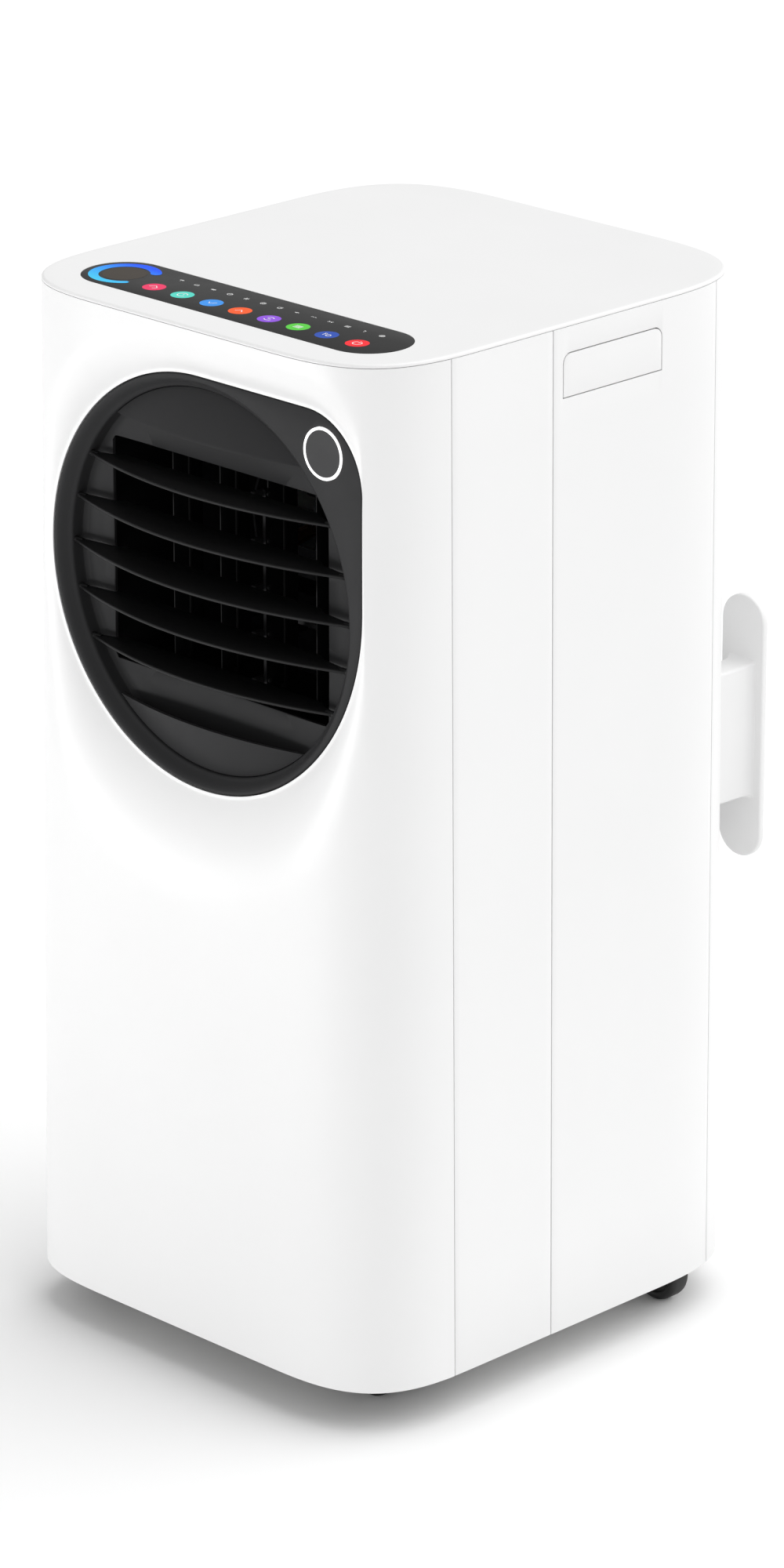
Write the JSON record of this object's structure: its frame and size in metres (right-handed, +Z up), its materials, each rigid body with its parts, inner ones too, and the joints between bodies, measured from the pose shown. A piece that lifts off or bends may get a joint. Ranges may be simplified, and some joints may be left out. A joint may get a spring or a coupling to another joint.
{
  "type": "portable air conditioner",
  "caption": "Tall white portable air conditioner on casters, with a round black louvred air outlet at the front, a touch strip on top and a cord winder behind.",
  "frame": {"origin": "on the floor, at the middle of the overall width and depth", "axes": "+Z up, -Y out of the front face with the air outlet, +X to the right as seen from the front"},
  "size_m": [0.3526, 0.4092, 0.72],
  "materials": {
    "casing_white": "smooth satin gloss white",
    "bezel_black": "fine-grained satin black",
    "dark_trim": "dark plain plastic",
    "touch_glass": "polished black glass-like panel with printed signs behind",
    "lens": "polished, with a lit white ring",
    "caster_black": "dull black tread",
    "grey_plastic": "plain moulded",
    "foam": "matt expanded foam",
    "steel": "plain plated",
    "painted_black": "gloss enamel",
    "fan_black": "plain moulded",
    "copper": "drawn tube, slightly dull",
    "aluminium": "thin fins",
    "circuit": "solder mask",
    "filter_mesh": "woven mesh in a moulded frame"
  },
  "bodies": {
    "casing": {"base_pan": "grey_plastic", "front_panel": "casing_white", "side_strip_left": "casing_white", "side_panel_left": "casing_white", "handle_cup_left": "casing_white", "side_strip_right": "casing_white", "side_panel_right": "casing_white", "handle_cup_right": "casing_white", "rear_panel": "casing_white", "top_cover": "casing_white", "touch_panel": "touch_glass", "control_board": "circuit", "outlet_bezel": "bezel_black", "status_lens": "lens", "eyelid_upper": "bezel_black", "eyelid_lower": "bezel_black", "outlet_duct": "dark_trim", "divider_deck": "grey_plastic", "condensate_tray": "foam", "evaporator": "aluminium", "blower_scroll": "foam", "blower_motor": "steel", "condenser": "aluminium", "exhaust_scroll": "foam", "exhaust_motor": "steel", "exhaust_duct": "foam", "exhaust_collar": "dark_trim", "compressor": "painted_black", "discharge_pipe": "copper", "suction_pipe": "copper", "electrical_box": "steel", "intake_grille": "casing_white", "cord_winder": "casing_white", "cord_gland": "dark_trim"},
    "vane_1": {"vane_1": "bezel_black"},
    "vane_2": {"vane_2": "bezel_black"},
    "vane_3": {"vane_3": "bezel_black"},
    "vane_4": {"vane_4": "bezel_black"},
    "vane_5": {"vane_5": "bezel_black"},
    "vane_link": {"vane_link": "dark_trim"},
    "deflector_1": {"deflector_1": "dark_trim"},
    "deflector_2": {"deflector_2": "dark_trim"},
    "deflector_3": {"deflector_3": "dark_trim"},
    "deflector_4": {"deflector_4": "dark_trim"},
    "deflector_tie_bar": {"deflector_tie_bar": "dark_trim"},
    "blower_wheel": {"blower_wheel": "fan_black"},
    "exhaust_wheel": {"exhaust_wheel": "fan_black"},
    "caster_fork_front_right": {"caster_fork_front_right": "dark_trim"},
    "caster_wheel_front_right": {"caster_wheel_front_right": "caster_black"},
    "caster_fork_front_left": {"caster_fork_front_left": "dark_trim"},
    "caster_wheel_front_left": {"caster_wheel_front_left": "caster_black"},
    "caster_fork_rear_right": {"caster_fork_rear_right": "dark_trim"},
    "caster_wheel_rear_right": {"caster_wheel_rear_right": "caster_black"},
    "caster_fork_rear_left": {"caster_fork_rear_left": "dark_trim"},
    "caster_wheel_rear_left": {"caster_wheel_rear_left": "caster_black"},
    "filter_door": {"filter_grille": "casing_white", "air_filter": "filter_mesh"},
    "drain_cap": {"drain_cap": "dark_trim"},
    "handle_flap_right": {"handle_flap_right": "casing_white"},
    "handle_flap_left": {"handle_flap_left": "casing_white"}
  },
  "joints": [
    {"name": "vane_1_tilt", "type": "hinge", "parent": "casing", "child": "vane_1", "pos_m": [0, -0.17335, 0.6066], "axis": [1, 0, 0], "range_deg": [-30, 30]},
    {"name": "vane_2_tilt", "type": "hinge", "parent": "casing", "child": "vane_2", "pos_m": [0, -0.17335, 0.57545], "axis": [1, 0, 0], "range_deg": [-30, 30]},
    {"name": "vane_3_tilt", "type": "hinge", "parent": "casing", "child": "vane_3", "pos_m": [0, -0.17335, 0.5443], "axis": [1, 0, 0], "range_deg": [-30, 30]},
    {"name": "vane_4_tilt", "type": "hinge", "parent": "casing", "child": "vane_4", "pos_m": [0, -0.17335, 0.51315], "axis": [1, 0, 0], "range_deg": [-30, 30]},
    {"name": "vane_5_tilt", "type": "hinge", "parent": "casing", "child": "vane_5", "pos_m": [0, -0.17335, 0.482], "axis": [1, 0, 0], "range_deg": [-30, 30]},
    {"name": "vane_link_pivot", "type": "hinge", "parent": "vane_3", "child": "vane_link", "pos_m": [0.032, -0.15535, 0.5443], "axis": [1, 0, 0], "range_deg": [-30, 30]},
    {"name": "deflector_1_swing", "type": "hinge", "parent": "casing", "child": "deflector_1", "pos_m": [-0.066, -0.13035, 0.5443], "axis": [0, 0, 1], "range_deg": [-30, 30]},
    {"name": "deflector_2_swing", "type": "hinge", "parent": "casing", "child": "deflector_2", "pos_m": [-0.022, -0.13035, 0.5443], "axis": [0, 0, 1], "range_deg": [-30, 30]},
    {"name": "deflector_3_swing", "type": "hinge", "parent": "casing", "child": "deflector_3", "pos_m": [0.022, -0.13035, 0.5443], "axis": [0, 0, 1], "range_deg": [-30, 30]},
    {"name": "deflector_4_swing", "type": "hinge", "parent": "casing", "child": "deflector_4", "pos_m": [0.066, -0.13035, 0.5443], "axis": [0, 0, 1], "range_deg": [-30, 30]},
    {"name": "tie_bar_pivot", "type": "hinge", "parent": "deflector_2", "child": "deflector_tie_bar", "pos_m": [-0.022, -0.11185, 0.508], "axis": [0, 0, 1], "range_deg": [-30, 30]},
    {"name": "blower_spin", "type": "hinge", "parent": "casing", "child": "blower_wheel", "pos_m": [0, 0.00965, 0.5443], "axis": [1, 0, 0], "continuous": true},
    {"name": "exhaust_spin", "type": "hinge", "parent": "casing", "child": "exhaust_wheel", "pos_m": [0.05, 0.06315, 0.185], "axis": [0, 1, 0], "continuous": true},
    {"name": "caster_front_right_swivel", "type": "hinge", "parent": "casing", "child": "caster_fork_front_right", "pos_m": [0.127, -0.13735, 0.049], "axis": [0, 0, 1], "continuous": true},
    {"name": "caster_front_right_roll", "type": "hinge", "parent": "caster_fork_front_right", "child": "caster_wheel_front_right", "pos_m": [0.1125, -0.13735, 0.02], "axis": [0, 1, 0], "continuous": true},
    {"name": "caster_front_left_swivel", "type": "hinge", "parent": "casing", "child": "caster_fork_front_left", "pos_m": [-0.127, -0.13735, 0.049], "axis": [0, 0, 1], "continuous": true},
    {"name": "caster_front_left_roll", "type": "hinge", "parent": "caster_fork_front_left", "child": "caster_wheel_front_left", "pos_m": [-0.1415, -0.13735, 0.02], "axis": [0, 1, 0], "continuous": true},
    {"name": "caster_rear_right_swivel", "type": "hinge", "parent": "casing", "child": "caster_fork_rear_right", "pos_m": [0.127, 0.10665, 0.049], "axis": [0, 0, 1], "continuous": true},
    {"name": "caster_rear_right_roll", "type": "hinge", "parent": "caster_fork_rear_right", "child": "caster_wheel_rear_right", "pos_m": [0.1415, 0.10665, 0.02], "axis": [0, 1, 0], "continuous": true},
    {"name": "caster_rear_left_swivel", "type": "hinge", "parent": "casing", "child": "caster_fork_rear_left", "pos_m": [-0.127, 0.10665, 0.049], "axis": [0, 0, 1], "continuous": true},
    {"name": "caster_rear_left_roll", "type": "hinge", "parent": "caster_fork_rear_left", "child": "caster_wheel_rear_left", "pos_m": [-0.1125, 0.10665, 0.02], "axis": [0, 1, 0], "continuous": true},
    {"name": "filter_door_pull", "type": "slide", "parent": "casing", "child": "filter_door", "axis": [0, 1, 0], "range_m": [0, 0.09]},
    {"name": "drain_cap_pull", "type": "slide", "parent": "casing", "child": "drain_cap", "axis": [0, 1, 0], "range_m": [0, 0.04]},
    {"name": "handle_flap_right_push", "type": "hinge", "parent": "casing", "child": "handle_flap_right", "pos_m": [0.1648, 0.01655, 0.69675], "axis": [0, 1, 0], "range_deg": [0, 50], "stiffness_Nm_per_rad": 0.01, "springref_deg": -20.05},
    {"name": "handle_flap_left_push", "type": "hinge", "parent": "casing", "child": "handle_flap_left", "pos_m": [-0.1648, 0.01655, 0.69675], "axis": [0, -1, 0], "range_deg": [0, 50], "stiffness_Nm_per_rad": 0.01, "springref_deg": -20.05}
  ],
  "couplings": [
    {"joint": "vane_1_tilt", "follows": "vane_3_tilt", "ratio": 1},
    {"joint": "vane_2_tilt", "follows": "vane_3_tilt", "ratio": 1},
    {"joint": "vane_4_tilt", "follows": "vane_3_tilt", "ratio": 1},
    {"joint": "vane_5_tilt", "follows": "vane_3_tilt", "ratio": 1},
    {"joint": "vane_link_pivot", "follows": "vane_3_tilt", "ratio": -1},
    {"joint": "deflector_1_swing", "follows": "deflector_2_swing", "ratio": 1},
    {"joint": "deflector_3_swing", "follows": "deflector_2_swing", "ratio": 1},
    {"joint": "deflector_4_swing", "follows": "deflector_2_swing", "ratio": 1},
    {"joint": "tie_bar_pivot", "follows": "deflector_2_swing", "ratio": -1}
  ]
}
